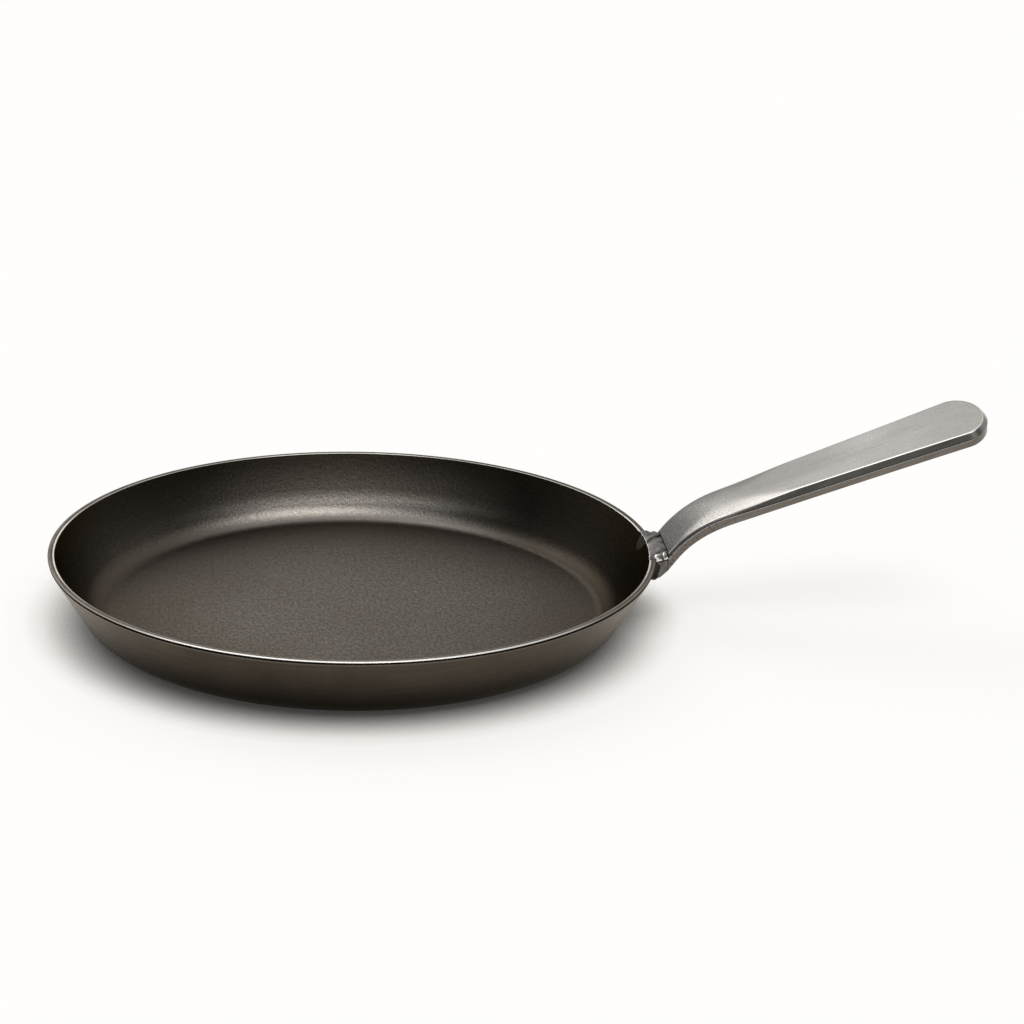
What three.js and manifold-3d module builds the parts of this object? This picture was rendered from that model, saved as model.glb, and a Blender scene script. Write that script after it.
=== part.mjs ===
import * as THREE from 'three';
import { mergeVertices } from 'three/addons/utils/BufferGeometryUtils.js';
import Module from 'manifold-3d';

// Steel skillet with a welded handle.
// Millimetres, +Z up. The pan's axis is Z, its base rests on z = 0, the handle points along +X.

// Pan
const RIM_DIAMETER = 260;
const PAN_HEIGHT = 30;
const SHEET = 2.8;
const WALL_ANGLE = 59.6;
const CORNER_RADIUS = 15;
const CORNER_STEPS = 6;
const PAN_SEGMENTS = 80;

// Turned lip round the rim, with a fine groove below it
const LIP_HEIGHT = 0.5;
const LIP_OVERHANG = 0.1;
const GROOVE_HEIGHT = 0.5;
const GROOVE_DEPTH = 0.5;
const GROOVE_EDGE = 0.2;
const RIM_EDGE = 0.3;

// Handle, measured along its top face from the joint with the bracket
const HANDLE_REACH = 4.6;
const ROOT_RISE = 0.8;
const ROOT_ANGLE = 52.7;
const ROOT_STRAIGHT = 1;
const BEND_RADIUS = 55;
const BEND_STEPS = 9;
const HANDLE_ANGLE = 20.1;
const STRAIGHT_LENGTH = 119.2;
const STRAIGHT_STEPS = 8;
const TIP_LENGTH = 12.9;
const TIP_STEPS = 9;
const TIP_TURN = 87;
const ROOT_WIDTH = 27.8;
const END_WIDTH = 44;
const WIDTH_WAIST = 0.75;

// Handle section: two pressed halves that meet at a seam, which lies nearer the top at the root
const HANDLE_THICKNESS = 6.35;
const ROOT_THICKNESS = 5.3;
const SEAM_DEPTH = 2.8;
const ROOT_SEAM_DEPTH = 1.4;
const SEAM_RUN = 60;
const SHELL_WALL = 0.8;
const SIDE_FLARE = 1.2;
const TOP_EDGE = 0.5;
const LOWER_STEP = 0.5;
const LOWER_FLARE = 0.4;
const LOWER_EDGE = 0.8;
const SEAM_GAP = 0.3;

// Bracket between the pan and the handle, with a tang inside the handle
const BRACKET_WIDTH = 37;
const BRACKET_HEIGHT = 7.7;
const BRACKET_TOP_DROP = 1.8;
const BRACKET_FOOT = 1;
const TANG_LENGTH = 34;
const TANG_SIDE_PLAY = 1;
const FIT_GAP = 0.3;

// Weld beads
const SIDE_BEAD_RADIUS = 2.2;
const UNDER_BEAD_RADIUS = 2;
const BEAD_SEGMENTS = 16;
const PAD_HEIGHT = 2.3;
const PAD_CROWN = 0.6;
const PAD_LAP = 2.2;
const PAD_INSET = 0.4;
const PAD_SLOPE = 2;

const rad = THREE.MathUtils.degToRad;
const lerp = THREE.MathUtils.lerp;

const wasm = await Module();
wasm.setup();

// Closed body from a geometry, for joining and cutting
function body(geometry) {
  geometry.deleteAttribute('normal');
  geometry.deleteAttribute('uv');
  const welded = mergeVertices(geometry, 1e-4);
  return new wasm.Manifold(new wasm.Mesh({
    numProp: 3,
    vertProperties: Float32Array.from(welded.attributes.position.array),
    triVerts: Uint32Array.from(welded.index.array),
  }));
}

// Named mesh from a body
function piece(name, solid, color, roughness) {
  const mesh = solid.getMesh();
  const shared = new THREE.BufferGeometry();
  shared.setAttribute('position', new THREE.BufferAttribute(mesh.vertProperties, 3));
  shared.setIndex(new THREE.BufferAttribute(mesh.triVerts, 1));
  const geometry = shared.toNonIndexed();
  geometry.computeVertexNormals();
  const material = new THREE.MeshStandardMaterial({ color, roughness, metalness: 1 });
  const out = new THREE.Mesh(geometry, material);
  out.name = name;
  return out;
}

// Body of revolution about Z from [radius, height] points
function revolve(points) {
  const profile = points.map(([r, z]) => new THREE.Vector2(r, z));
  return body(new THREE.LatheGeometry(profile, PAN_SEGMENTS).rotateX(Math.PI / 2));
}

// Prism with a side view in x and z, running across y from -half to +half
function sidePrism(points, half) {
  const shape = new THREE.Shape(points.map(([x, z]) => new THREE.Vector2(x, z)));
  const geometry = new THREE.ExtrudeGeometry(shape, { depth: 2 * half, bevelEnabled: false });
  return body(geometry.rotateX(Math.PI / 2).translate(0, half, 0));
}

// Prism with a plan view in x and y, running up z from low to high
function planPrism(points, low, high) {
  const shape = new THREE.Shape(points.map(([x, y]) => new THREE.Vector2(x, y)));
  const geometry = new THREE.ExtrudeGeometry(shape, { depth: high - low, bevelEnabled: false });
  return body(geometry.translate(0, 0, low));
}

// Body through a row of rings that all have the same number of points
function loft(rings) {
  const count = rings[0].length;
  const last = (rings.length - 1) * count;
  const index = [];
  for (let k = 0; k + 1 < rings.length; k += 1) {
    for (let i = 0; i < count; i += 1) {
      const a = k * count + i;
      const b = k * count + (i + 1) % count;
      index.push(a, a + count, b, b, a + count, b + count);
    }
  }
  for (let i = 1; i + 1 < count; i += 1) {
    index.push(0, i, i + 1, last, last + i + 1, last + i);
  }
  const geometry = new THREE.BufferGeometry().setFromPoints(rings.flat());
  geometry.setIndex(index);
  return body(geometry);
}

// Pan profile: the outer wall is tangent to the base corner and ends at the shoulder under the groove
const rimRadius = RIM_DIAMETER / 2;
const wallAngle = rad(WALL_ANGLE);
const shoulderRadius = rimRadius - LIP_OVERHANG;
const shoulderZ = PAN_HEIGHT - LIP_HEIGHT - GROOVE_HEIGHT;
const cornerTopZ = CORNER_RADIUS * (1 - Math.cos(wallAngle));
const cornerTopRadius = shoulderRadius - (shoulderZ - cornerTopZ) / Math.tan(wallAngle);
const baseRadius = cornerTopRadius - CORNER_RADIUS * Math.sin(wallAngle);
const outerWall = (z) => shoulderRadius + (z - shoulderZ) / Math.tan(wallAngle);
const innerWall = (z) => outerWall(z) - SHEET / Math.sin(wallAngle);

function corner(radius) {
  return Array.from({ length: CORNER_STEPS + 1 }, (_, i) => {
    const angle = wallAngle * i / CORNER_STEPS;
    return [baseRadius + radius * Math.sin(angle), CORNER_RADIUS - radius * Math.cos(angle)];
  });
}

const grooveRadius = shoulderRadius - GROOVE_DEPTH;
const lipZ = PAN_HEIGHT - LIP_HEIGHT;
const pan = revolve([
  [0, 0],
  ...corner(CORNER_RADIUS),
  [shoulderRadius, shoulderZ],
  [grooveRadius, shoulderZ + GROOVE_EDGE],
  [grooveRadius, lipZ],
  [rimRadius, lipZ + GROOVE_EDGE / 2],
  [rimRadius, PAN_HEIGHT - RIM_EDGE],
  [rimRadius - RIM_EDGE, PAN_HEIGHT],
  [innerWall(PAN_HEIGHT) + RIM_EDGE, PAN_HEIGHT],
  [innerWall(PAN_HEIGHT - RIM_EDGE), PAN_HEIGHT - RIM_EDGE],
  ...corner(CORNER_RADIUS - SHEET).reverse(),
  [0, SHEET],
]);

// Room taken by the pan, grown by the fit gap, for everything that is welded against it.
// A weld may lap over the top of the rim by the given width.
const wallGap = FIT_GAP / Math.sin(wallAngle);

function panRoom(lap) {
  return revolve([
    [0, cornerTopZ],
    [outerWall(cornerTopZ) + wallGap, cornerTopZ],
    [outerWall(shoulderZ - FIT_GAP) + wallGap, shoulderZ - FIT_GAP],
    [rimRadius + FIT_GAP, shoulderZ],
    [rimRadius + FIT_GAP, PAN_HEIGHT + FIT_GAP],
    [rimRadius + FIT_GAP - lap, PAN_HEIGHT + FIT_GAP],
    [rimRadius + FIT_GAP - lap, 2 * PAN_HEIGHT],
    [0, 2 * PAN_HEIGHT],
  ]);
}

const weldRoom = panRoom(0);

// Top line of the handle: a short steep straight, a bend, and a long shallow straight
const jointX = rimRadius + HANDLE_REACH;
const rootZ = PAN_HEIGHT + ROOT_RISE;
const rootAngle = rad(ROOT_ANGLE);
const handleAngle = rad(HANDLE_ANGLE);
const bendLength = BEND_RADIUS * (rootAngle - handleAngle);
const bendStart = ROOT_STRAIGHT;
const bendEnd = bendStart + bendLength;
const handleLength = bendEnd + STRAIGHT_LENGTH;
const tipStart = handleLength - TIP_LENGTH;

function topLine(t) {
  const turned = THREE.MathUtils.clamp(t - bendStart, 0, bendLength);
  const angle = rootAngle - turned / BEND_RADIUS;
  const steep = Math.min(t, bendStart);
  const shallow = Math.max(t - bendEnd, 0);
  return {
    angle,
    x: jointX + steep * Math.cos(rootAngle) + shallow * Math.cos(handleAngle)
      + BEND_RADIUS * (Math.sin(rootAngle) - Math.sin(angle)),
    z: rootZ + steep * Math.sin(rootAngle) + shallow * Math.sin(handleAngle)
      + BEND_RADIUS * (Math.cos(angle) - Math.cos(rootAngle)),
  };
}

// Depth of the underside and of the seam below the top line
const thickness = (t) => lerp(ROOT_THICKNESS, HANDLE_THICKNESS, THREE.MathUtils.smoothstep(t, 0, bendEnd));
const seamDepth = (t) => lerp(ROOT_SEAM_DEPTH, SEAM_DEPTH, THREE.MathUtils.smoothstep(t, 0, SEAM_RUN));

// Half the handle's width at its seam
function halfWidth(t) {
  const u = Math.max(t, 0) / tipStart;
  return lerp(ROOT_WIDTH, END_WIDTH, u) / 2 + SIDE_FLARE - 4 * WIDTH_WAIST * u * (1 - u);
}

// Outline of the handle from t = from to its tip, as [t, half width] pairs set in by inset
function outline(from, inset) {
  const stations = [from];
  for (let i = 0; i <= BEND_STEPS; i += 1) {
    stations.push(lerp(bendStart, bendEnd, i / BEND_STEPS));
  }
  for (let i = 1; i < STRAIGHT_STEPS; i += 1) {
    stations.push(lerp(bendEnd, tipStart, i / STRAIGHT_STEPS));
  }
  const pairs = stations.map((t) => [t, halfWidth(t) - inset]);
  for (let i = 0; i < TIP_STEPS; i += 1) {
    const angle = rad(TIP_TURN) * i / (TIP_STEPS - 1);
    const t = tipStart + (TIP_LENGTH - inset) * Math.sin(angle);
    pairs.push([t, (halfWidth(tipStart) - inset) * Math.cos(angle)]);
  }
  return pairs;
}

// Point on the handle, depth below its top line
function handlePoint(t, y, depth) {
  const { x, z, angle } = topLine(t);
  return new THREE.Vector3(x + depth * Math.sin(angle), y, z - depth * Math.cos(angle));
}

// Body between levels of the handle; each level is an inset from the seam's outline and a depth at t
function handleBody(from, levels) {
  const sides = levels.map(([inset, depth]) => (
    outline(from, inset).map(([t, half]) => ({ t, half, depth: depth(t) }))
  ));
  const rings = sides[0].map((_, k) => {
    const left = sides.map((side) => handlePoint(side[k].t, side[k].half, side[k].depth));
    const right = sides.map((side) => handlePoint(side[k].t, -side[k].half, side[k].depth));
    return [...left, ...right.reverse()];
  });
  return loft(rings);
}

const rootRun = HANDLE_THICKNESS * Math.tan(rootAngle) + HANDLE_REACH;
const farSide = planPrism([
  [jointX + FIT_GAP / 2, -END_WIDTH],
  [jointX + handleLength, -END_WIDTH],
  [jointX + handleLength, END_WIDTH],
  [jointX + FIT_GAP / 2, END_WIDTH],
], 0, rootZ + handleLength);

const upperShell = handleBody(-rootRun, [
  [SIDE_FLARE + TOP_EDGE, () => 0],
  [SIDE_FLARE, () => TOP_EDGE],
  [0, (t) => seamDepth(t) - SEAM_GAP / 2],
]).subtract(handleBody(-2 * rootRun, [
  [SIDE_FLARE + SHELL_WALL, () => SHELL_WALL],
  [SHELL_WALL, seamDepth],
])).intersect(farSide);

const lowerInset = LOWER_STEP + LOWER_FLARE;
const lowerShell = handleBody(-rootRun, [
  [LOWER_STEP, (t) => seamDepth(t) + SEAM_GAP / 2],
  [lowerInset, (t) => thickness(t) - LOWER_EDGE],
  [lowerInset + LOWER_EDGE, thickness],
]).subtract(handleBody(-2 * rootRun, [
  [LOWER_STEP + SHELL_WALL, seamDepth],
  [lowerInset + SHELL_WALL, (t) => thickness(t) - SHELL_WALL],
])).intersect(farSide);

// Bracket: a block shaped to the pan's wall, and a tang that follows the handle inside its two halves
// and leaves the block below its top
const blockTop = PAN_HEIGHT - BRACKET_TOP_DROP;
const blockBottom = blockTop - BRACKET_HEIGHT;
const blockEnd = jointX - FIT_GAP / 2;
const blockEndBottom = rootZ - thickness(0) / Math.cos(rootAngle);
const wallX = outerWall(blockTop);

function block(grow) {
  const half = BRACKET_WIDTH / 2 + grow;
  const endHalf = halfWidth(0) - LOWER_STEP + grow;
  const side = sidePrism([
    [baseRadius, blockBottom - grow],
    [rimRadius + BRACKET_FOOT + grow, blockBottom - grow],
    [blockEnd + grow, blockEndBottom - grow],
    [blockEnd + grow, blockTop + grow],
    [baseRadius, blockTop + grow],
  ], BRACKET_WIDTH);
  const plan = planPrism([
    [baseRadius, -half],
    [wallX, -half],
    [blockEnd + grow, -endHalf],
    [blockEnd + grow, endHalf],
    [wallX, half],
    [baseRadius, half],
  ], 0, 2 * PAN_HEIGHT);
  return side.intersect(plan);
}

const tangClear = SHELL_WALL + FIT_GAP;
const tangDepth = Math.max(tangClear, (rootZ - blockTop) * Math.cos(rootAngle));
const tangInset = SIDE_FLARE + tangClear + TANG_SIDE_PLAY;
const tangEnd = topLine(TANG_LENGTH).x;
const tang = handleBody(-2 * rootRun, [
  [tangInset, () => tangDepth],
  [tangInset, (t) => thickness(t) - tangClear],
]).intersect(planPrism([
  [rimRadius + BRACKET_FOOT, -END_WIDTH],
  [tangEnd, -END_WIDTH],
  [tangEnd, END_WIDTH],
  [rimRadius + BRACKET_FOOT, END_WIDTH],
], blockBottom, rootZ + handleLength));
const bracket = block(0).subtract(weldRoom).add(tang);

// Weld pad on top of the bracket, lapping over the rim and running to the root of the handle, with sloping sides
const padBottom = blockTop + FIT_GAP;
const padTop = padBottom + PAD_HEIGHT;

function padPlan(inset) {
  const half = BRACKET_WIDTH / 2 - PAD_INSET - inset;
  const endHalf = ROOT_WIDTH / 2 - inset;
  return [
    [baseRadius, half],
    [wallX, half],
    [blockEnd, endHalf],
    [blockEnd, -endHalf],
    [wallX, -half],
    [baseRadius, -half],
  ];
}

const pad = loft([
  padPlan(0).map(([x, y]) => new THREE.Vector3(x, y, padBottom)),
  padPlan(PAD_SLOPE / 2).map(([x, y]) => new THREE.Vector3(x, y, padTop)),
  padPlan(PAD_SLOPE * 2).map(([x, y]) => new THREE.Vector3(x, y, padTop + PAD_CROWN)),
]).subtract(panRoom(PAD_LAP));

// Fillet beads down both sides of the bracket, lying against the pan's wall
const blockRoom = block(FIT_GAP);
const sideLow = blockBottom + SIDE_BEAD_RADIUS + FIT_GAP;
const sideHigh = padBottom - SIDE_BEAD_RADIUS - 2 * FIT_GAP;

function sideBead(sign) {
  const y = sign * (BRACKET_WIDTH / 2 + FIT_GAP);
  const foot = (z) => new THREE.Vector3(Math.sqrt(outerWall(z) ** 2 - y ** 2) + FIT_GAP, y, z);
  const low = foot(sideLow);
  const high = foot(sideHigh);
  const geometry = new THREE.CapsuleGeometry(SIDE_BEAD_RADIUS, low.distanceTo(high), BEAD_SEGMENTS / 4, BEAD_SEGMENTS);
  const along = high.clone().sub(low).normalize();
  geometry.applyQuaternion(new THREE.Quaternion().setFromUnitVectors(new THREE.Vector3(0, 1, 0), along));
  const middle = low.add(high).multiplyScalar(0.5);
  return body(geometry.translate(middle.x, middle.y, middle.z)).subtract(weldRoom).subtract(blockRoom);
}

// Fillet bead along the lower edge of the bracket
const underRadius = outerWall(blockBottom);
const underSpread = Math.asin((BRACKET_WIDTH / 2 - UNDER_BEAD_RADIUS) / underRadius);
const underPath = new THREE.CatmullRomCurve3(Array.from({ length: 9 }, (_, i) => {
  const angle = lerp(-underSpread, underSpread, i / 8);
  return new THREE.Vector3(underRadius * Math.cos(angle), underRadius * Math.sin(angle), blockBottom);
}));
const underShape = new THREE.Shape().absarc(0, 0, UNDER_BEAD_RADIUS, 0, 2 * Math.PI);
const underBead = body(new THREE.ExtrudeGeometry(underShape, {
  steps: 12,
  curveSegments: BEAD_SEGMENTS,
  extrudePath: underPath,
})).subtract(weldRoom).subtract(blockRoom);

const skillet = new THREE.Group();
skillet.name = 'steel_skillet';
skillet.add(
  piece('pan_body', pan, '#4a4440', 0.5),
  piece('handle_bracket', bracket, '#8d8882', 0.4),
  piece('handle_upper_shell', upperShell, '#b4afa8', 0.35),
  piece('handle_lower_shell', lowerShell, '#9a948c', 0.4),
  piece('top_weld', pad, '#6b655f', 0.55),
  piece('left_weld', sideBead(1), '#5b5650', 0.55),
  piece('right_weld', sideBead(-1), '#5b5650', 0.55),
  piece('under_weld', underBead, '#5b5650', 0.55),
);

export default skillet;
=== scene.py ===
# %% [markdown]
# # A steel skillet
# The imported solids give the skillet's sizes and its frame: the pan's axis is Z, the base stands on z = 0
# and the handle points along +X. This lesson builds a finer skin for each solid and gives it a worked-steel
# finish.

# %% Load the frame
import math
import bmesh
import bpy
from mathutils import Matrix, Vector, noise


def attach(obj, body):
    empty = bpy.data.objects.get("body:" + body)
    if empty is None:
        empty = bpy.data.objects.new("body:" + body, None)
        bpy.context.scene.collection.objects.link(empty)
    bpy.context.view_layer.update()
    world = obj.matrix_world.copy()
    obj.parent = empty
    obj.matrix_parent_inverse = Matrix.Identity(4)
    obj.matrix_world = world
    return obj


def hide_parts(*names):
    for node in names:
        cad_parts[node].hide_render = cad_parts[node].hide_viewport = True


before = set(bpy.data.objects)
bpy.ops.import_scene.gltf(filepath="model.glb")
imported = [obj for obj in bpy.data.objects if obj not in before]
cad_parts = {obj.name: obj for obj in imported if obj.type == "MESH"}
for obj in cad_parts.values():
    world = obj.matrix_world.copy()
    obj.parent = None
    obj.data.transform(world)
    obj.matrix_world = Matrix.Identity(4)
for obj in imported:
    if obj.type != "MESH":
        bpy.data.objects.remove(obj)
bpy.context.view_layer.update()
print("solids:", sorted(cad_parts))

# %% [markdown]
# Every piece is drawn in millimetres, because kitchenware is sized that way, and scaled to metres once at
# the end. The same last step rides the piece on the one rigid body and hides the solid that it stands for.
# Edges that turn by more than 35 degrees stay crisp, and the rest is shaded smooth.

# %% Finish a piece
MM = 0.001
CRISP = math.radians(35)


def finish_piece(bm, name, *nodes):
    bmesh.ops.scale(bm, vec=(MM, MM, MM), verts=bm.verts)
    mesh = bpy.data.meshes.new(name)
    bm.to_mesh(mesh)
    bm.free()
    mesh.shade_smooth()
    mesh.set_sharp_from_angle(angle=CRISP)
    piece = bpy.data.objects.new(name, mesh)
    bpy.context.collection.objects.link(piece)
    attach(piece, "root")
    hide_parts(*nodes)
    print(name, "has", len(mesh.polygons), "faces")
    return piece


print("edges stay crisp above", round(math.degrees(CRISP)), "degrees")

# %% [markdown]
# The pan is one pressed sheet: a flat base, a round corner and a flared wall, with a thin lip and a groove
# turned at the rim. Everything on it follows from the rim's radius, the height, the sheet and the slope of
# the wall, so those are named first. Two functions then give the wall's radius at any height, for the pan
# and its neighbours.

# %% Size the pan
RIM_RADIUS = 130.0
PAN_HEIGHT = 30.0
SHEET = 2.8
WALL = math.radians(59.6)
CORNER = 15.0
LIP_HEIGHT = 0.5
LIP_OVERHANG = 0.1
GROOVE_HEIGHT = 0.5
GROOVE_DEPTH = 0.5
RIM_EDGE = 0.38

shoulder_r = RIM_RADIUS - LIP_OVERHANG
shoulder_z = PAN_HEIGHT - LIP_HEIGHT - GROOVE_HEIGHT
groove_r = shoulder_r - GROOVE_DEPTH
lip_z = PAN_HEIGHT - LIP_HEIGHT
wall_across = SHEET / math.sin(WALL)


def outer_wall(z):
    return shoulder_r + (z - shoulder_z) / math.tan(WALL)


def inner_wall(z):
    return outer_wall(z) - wall_across


corner_top = CORNER * (1 - math.cos(WALL))
base_r = outer_wall(corner_top) - CORNER * math.sin(WALL)
land_r = inner_wall(PAN_HEIGHT) + RIM_EDGE * math.tan(WALL / 2)
print("base radius:", round(base_r, 1), "land's inner radius:", round(land_r, 1))

# %% [markdown]
# A turned form could be lathed from a list of points, but a pen that extrudes its last vertex along lines
# and spins it round corners says how the sheet runs: out along the base, round the corner, up the flared
# wall, over the turned lip and back down inside.

# %% Draw the pan's profile
CORNER_STEPS = 16
EDGE_STEPS = 5
SHOULDER_EDGE = 0.25
SHOULDER_NIP = 0.05
SHOULDER_TURN, SHOULDER_RISE = 0.2, 0.06
GROOVE_EDGE = 0.2
LIP_EDGE = 0.12
LIP_EDGE_LOW, LIP_EDGE_HIGH = 0.02, 0.1
WALL_LOOPS = (20.0, 14.0)
FLOOR_LOOPS = (0.6, 0.25)


def verts_in(geom):
    return [part for part in geom if isinstance(part, bmesh.types.BMVert)]


def line_to(bm, pen, *points):
    for r, z in points:
        pen = bmesh.ops.extrude_vert_indiv(bm, verts=[pen])["verts"][0]
        pen.co = (r, 0, z)
    return pen


def arc_about(bm, pen, r, z, angle, steps):
    turned = bmesh.ops.spin(bm, geom=[pen], cent=(r, 0, z), axis=(0, -1, 0), angle=angle, steps=steps)
    return verts_in(turned["geom_last"])[0]


edge_z = shoulder_z - SHOULDER_EDGE
edge_top = PAN_HEIGHT - RIM_EDGE
inside_corner = CORNER - SHEET
pan_bm = bmesh.new()
pen = line_to(pan_bm, pan_bm.verts.new((0, 0, 0)), (base_r, 0))
pen = arc_about(pan_bm, pen, base_r, CORNER, WALL, CORNER_STEPS)
pen = line_to(pan_bm, pen, (outer_wall(edge_z), edge_z))
pen = line_to(pan_bm, pen, (shoulder_r - SHOULDER_NIP, shoulder_z - SHOULDER_NIP))
pen = line_to(pan_bm, pen, (shoulder_r - SHOULDER_TURN, shoulder_z + SHOULDER_RISE))
pen = line_to(pan_bm, pen, (groove_r, shoulder_z + GROOVE_EDGE), (groove_r, lip_z))
pen = line_to(pan_bm, pen, (RIM_RADIUS - LIP_EDGE, lip_z + LIP_EDGE_LOW))
pen = line_to(pan_bm, pen, (RIM_RADIUS, lip_z + LIP_EDGE_HIGH), (RIM_RADIUS, edge_top))
pen = arc_about(pan_bm, pen, RIM_RADIUS - RIM_EDGE, edge_top, math.pi / 2, EDGE_STEPS)
pen = line_to(pan_bm, pen, (land_r, PAN_HEIGHT))
pen = arc_about(pan_bm, pen, land_r, edge_top, WALL, EDGE_STEPS)
pen = line_to(pan_bm, pen, *((inner_wall(z), z) for z in WALL_LOOPS))
pen = line_to(pan_bm, pen, (base_r + inside_corner * math.sin(WALL), CORNER - inside_corner * math.cos(WALL)))
pen = arc_about(pan_bm, pen, base_r, CORNER, -WALL, CORNER_STEPS)
pen = line_to(pan_bm, pen, *((base_r * share, SHEET) for share in FLOOR_LOOPS), (0, SHEET))
print("profile vertices:", len(pan_bm.verts))

# %% [markdown]
# One full spin turns the profile into the pan. The vertices on the axis fall on top of each other, so
# doubles are merged before the normals are turned outwards. Each face then joins one of three finishes by
# where it lies: the seasoned inside, the turned rim, or the brushed outside.

# %% Turn the pan
INSIDE, RIM, OUTSIDE = 0, 1, 2
TURN_STEPS = 192
MERGE = 0.001
RIM_BAND = 0.3
LAND_BAND = 0.25

bmesh.ops.spin(pan_bm, geom=pan_bm.verts[:] + pan_bm.edges[:], cent=(0, 0, 0), axis=(0, 0, 1),
               angle=2 * math.pi, steps=TURN_STEPS, use_merge=True)
bmesh.ops.remove_doubles(pan_bm, verts=pan_bm.verts, dist=MERGE)
bmesh.ops.recalc_face_normals(pan_bm, faces=pan_bm.faces)
for face in pan_bm.faces:
    middle = face.calc_center_median()
    radius = math.hypot(middle.x, middle.y)
    if middle.z > shoulder_z - RIM_BAND and radius > land_r - LAND_BAND:
        face.material_index = RIM
    elif middle.z > SHEET / 2 and radius < outer_wall(middle.z) - wall_across / 2:
        face.material_index = INSIDE
    else:
        face.material_index = OUTSIDE
pan = finish_piece(pan_bm, "pan", "pan_body")

# %% [markdown]
# The handle is two pressed halves that meet at a seam. Both follow one top line: a short steep straight
# from the bracket, a bend, and a long shallow straight. A half could be lofted ring by ring, but a press
# starts from a flat blank, so each half is cut out flat, shaped by inset and bevel, sliced across and
# along, and only then bent. This cell holds the line, the width and the depth of the seam along it.

# %% The handle's line and width
JOINT_X = RIM_RADIUS + 4.6
ROOT_Z = PAN_HEIGHT + 0.8
ROOT_ANGLE = math.radians(52.7)
ROOT_STRAIGHT = 1.0
BEND_RADIUS = 55.0
HANDLE_ANGLE = math.radians(20.1)
STRAIGHT = 119.0
TIP = 12.7
ROOT_WIDTH = 27.8
END_WIDTH = 44.0
WAIST = 0.75
THICKNESS, ROOT_THICKNESS = 6.35, 5.3
SEAM_DEPTH, ROOT_SEAM_DEPTH = 2.8, 1.4
SEAM_RUN = 60.0
FLARE = 1.2
SEAM_GAP = 0.26
FIT_GAP = 0.3
SHELL = 0.8

bend_length = BEND_RADIUS * (ROOT_ANGLE - HANDLE_ANGLE)
bend_end = ROOT_STRAIGHT + bend_length
handle_length = bend_end + STRAIGHT
tip_start = handle_length - TIP


def smooth(x, low, high):
    u = min(max((x - low) / (high - low), 0.0), 1.0)
    return u * u * (3 - 2 * u)


def half_width(t):
    u = max(t, 0.0) / tip_start
    return (ROOT_WIDTH + (END_WIDTH - ROOT_WIDTH) * u) / 2 + FLARE - 4 * WAIST * u * (1 - u)


def thickness(t):
    return ROOT_THICKNESS + (THICKNESS - ROOT_THICKNESS) * smooth(t, 0, bend_end)


def seam_depth(t):
    return ROOT_SEAM_DEPTH + (SEAM_DEPTH - ROOT_SEAM_DEPTH) * smooth(t, 0, SEAM_RUN)


def bend(t, y, depth):
    """Where a point of the flat blank goes: t along the top line, y across it and depth below it."""
    turned = min(max(t - ROOT_STRAIGHT, 0.0), bend_length)
    angle = ROOT_ANGLE - turned / BEND_RADIUS
    steep = min(t, ROOT_STRAIGHT)
    shallow = max(t - bend_end, 0.0)
    x = JOINT_X + steep * math.cos(ROOT_ANGLE) + shallow * math.cos(HANDLE_ANGLE)
    x += BEND_RADIUS * (math.sin(ROOT_ANGLE) - math.sin(angle))
    z = ROOT_Z + steep * math.sin(ROOT_ANGLE) + shallow * math.sin(HANDLE_ANGLE)
    z += BEND_RADIUS * (math.cos(angle) - math.cos(ROOT_ANGLE))
    return Vector((x + depth * math.sin(angle), y, z - depth * math.cos(angle)))


print("handle length along its top:", round(handle_length, 1))

# %% [markdown]
# The blank's outline starts as one side edge, cut into short lengths and pulled out to the handle's width.
# A mirror gives the other side, and spinning the last vertex half a turn, then squeezing that arc
# lengthwise, gives the round tip. The blank starts well short of the joint, so that the bent half can be
# trimmed there to a clean upright edge.

# %% Cut a flat blank
BLANK_START = -16.0
SIDE_CUTS = 40
TIP_STEPS = 40
TOUCHING = 1e-4


def blank(inset, tip, up):
    """A flat face with the handle's outline, pulled in by inset, that faces up or down."""
    bm = bmesh.new()
    side = bm.edges.new([bm.verts.new((t, 0, 0)) for t in (BLANK_START, tip_start)])
    bmesh.ops.subdivide_edges(bm, edges=[side], cuts=SIDE_CUTS)
    for v in bm.verts:
        v.co.y = inset - half_width(v.co.x)
    bmesh.ops.mirror(bm, geom=bm.verts[:] + bm.edges[:], axis="Y", merge_dist=MERGE)
    end = min(bm.verts, key=lambda v: v.co.y - v.co.x)
    bmesh.ops.spin(bm, geom=[end], cent=(tip_start, 0, 0), axis=(0, 0, 1), angle=math.pi, steps=TIP_STEPS)
    squeeze = (tip - inset) / (half_width(tip_start) - inset)
    rounded = [v for v in bm.verts if v.co.x > tip_start + TOUCHING]
    bmesh.ops.scale(bm, vec=(squeeze, 1, 1), space=Matrix.Translation((-tip_start, 0, 0)), verts=rounded)
    bmesh.ops.remove_doubles(bm, verts=bm.verts, dist=MERGE)
    bm.edges.new([v for v in bm.verts if v.co.x < BLANK_START + TOUCHING])
    face = bmesh.ops.edgeloop_fill(bm, edges=bm.edges[:])["faces"][0]
    face.normal_update()
    if (face.normal.z > 0) != up:
        face.normal_flip()
    return bm, face


print("blank's widest:", round(2 * half_width(tip_start), 1))

# %% [markdown]
# A face that is only an outline can't bend, so the blank is sliced across, finely where the handle bends,
# and along. Its flat length and width are kept as a UV map, in metres, so that the brushing follows the
# bend. The sheet then gets its thickness. Solidify throws spikes where the slices leave slivers, so the
# faces are extruded and the copy moved in along its normals, which also tells the worked side from the raw
# lining. The root is cut square last, when the half is bent.

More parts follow.
